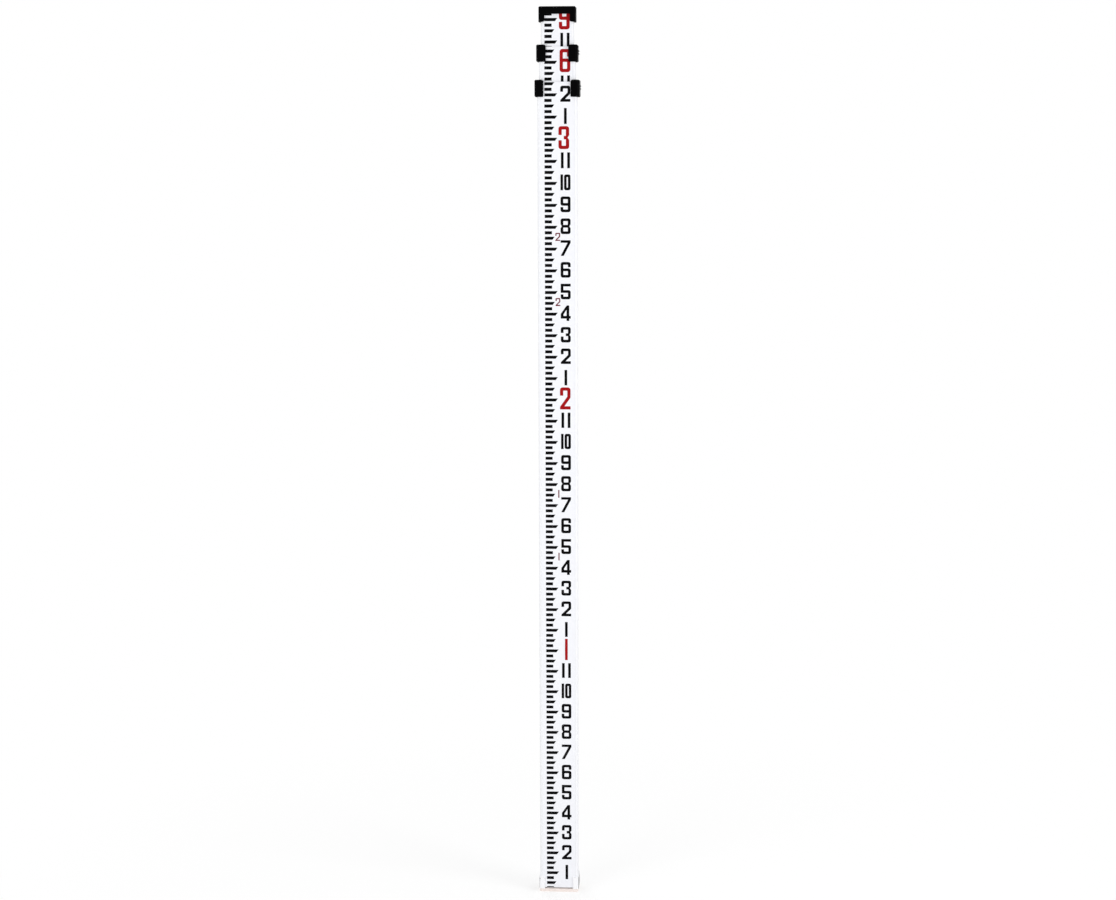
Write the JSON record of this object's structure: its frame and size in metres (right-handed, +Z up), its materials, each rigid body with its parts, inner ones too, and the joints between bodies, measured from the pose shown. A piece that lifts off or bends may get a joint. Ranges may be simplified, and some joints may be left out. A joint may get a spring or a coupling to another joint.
{
  "type": "leveling staff",
  "caption": "Telescoping leveling staff: nested white aluminium sections with printed scale strips, black collars with rocker latches, a cap, and a metal shoe on a brass wear plate.",
  "frame": {"origin": "middle of the foot, on the underside of the wear plate, where the scale starts", "axes": "+Z up the staff, +X to the right as one reads the scale, the graduated front faces -Y"},
  "size_m": [0.0532, 0.0313, 1.0642],
  "materials": {
    "coated_aluminium": "satin",
    "printed_film": "satin",
    "cast_shoe": "satin",
    "brass_plate": "satin",
    "bright_steel": "satin",
    "spring_steel": "satin",
    "black_moulding": "matte",
    "black_latch": "satin",
    "natural_nylon": "satin",
    "bumper_rubber": "matte"
  },
  "bodies": {
    "base": {"base_section": "coated_aluminium", "base_scale_strip": "printed_film", "foot_boot": "cast_shoe", "wear_plate": "brass_plate", "wear_plate_screws": "bright_steel", "foot_screws": "bright_steel", "foot_bumper": "bumper_rubber", "base_collar": "black_moulding", "base_collar_rivets": "bright_steel", "base_latch_pin": "bright_steel", "base_latch_spring": "spring_steel"},
    "base_latch": {"base_latch": "black_latch"},
    "middle": {"middle_section": "coated_aluminium", "middle_scale_strip": "printed_film", "middle_collar": "black_moulding", "middle_collar_rivets": "bright_steel", "middle_latch_pin": "bright_steel", "middle_latch_spring": "spring_steel", "middle_guide": "natural_nylon", "middle_guide_rivets": "bright_steel", "middle_bumper": "bumper_rubber"},
    "middle_latch": {"middle_latch": "black_latch"},
    "top": {"top_section": "coated_aluminium", "top_scale_strip": "printed_film", "top_cap": "black_moulding", "top_cap_screws": "bright_steel", "top_guide": "natural_nylon", "top_guide_rivets": "bright_steel"}
  },
  "joints": [
    {"name": "middle_slide", "type": "slide", "parent": "base", "child": "middle", "axis": [0, 0, 1], "range_m": [0, 0.8265]},
    {"name": "top_slide", "type": "slide", "parent": "middle", "child": "top", "axis": [0, 0, 1], "range_m": [0, 0.8659]},
    {"name": "base_latch_press", "type": "hinge", "parent": "base", "child": "base_latch", "pos_m": [0.0246, 0, 0.9698], "axis": [0, -1, 0], "range_deg": [-12, 9], "stiffness_Nm_per_rad": 0.004, "springref_deg": -12, "deforming": ["base_latch_spring"]},
    {"name": "middle_latch_press", "type": "hinge", "parent": "middle", "child": "middle_latch", "pos_m": [0.0226, 0, 1.0098], "axis": [0, -1, 0], "range_deg": [-12, 9], "stiffness_Nm_per_rad": 0.004, "springref_deg": -12, "deforming": ["middle_latch_spring"]}
  ]
}
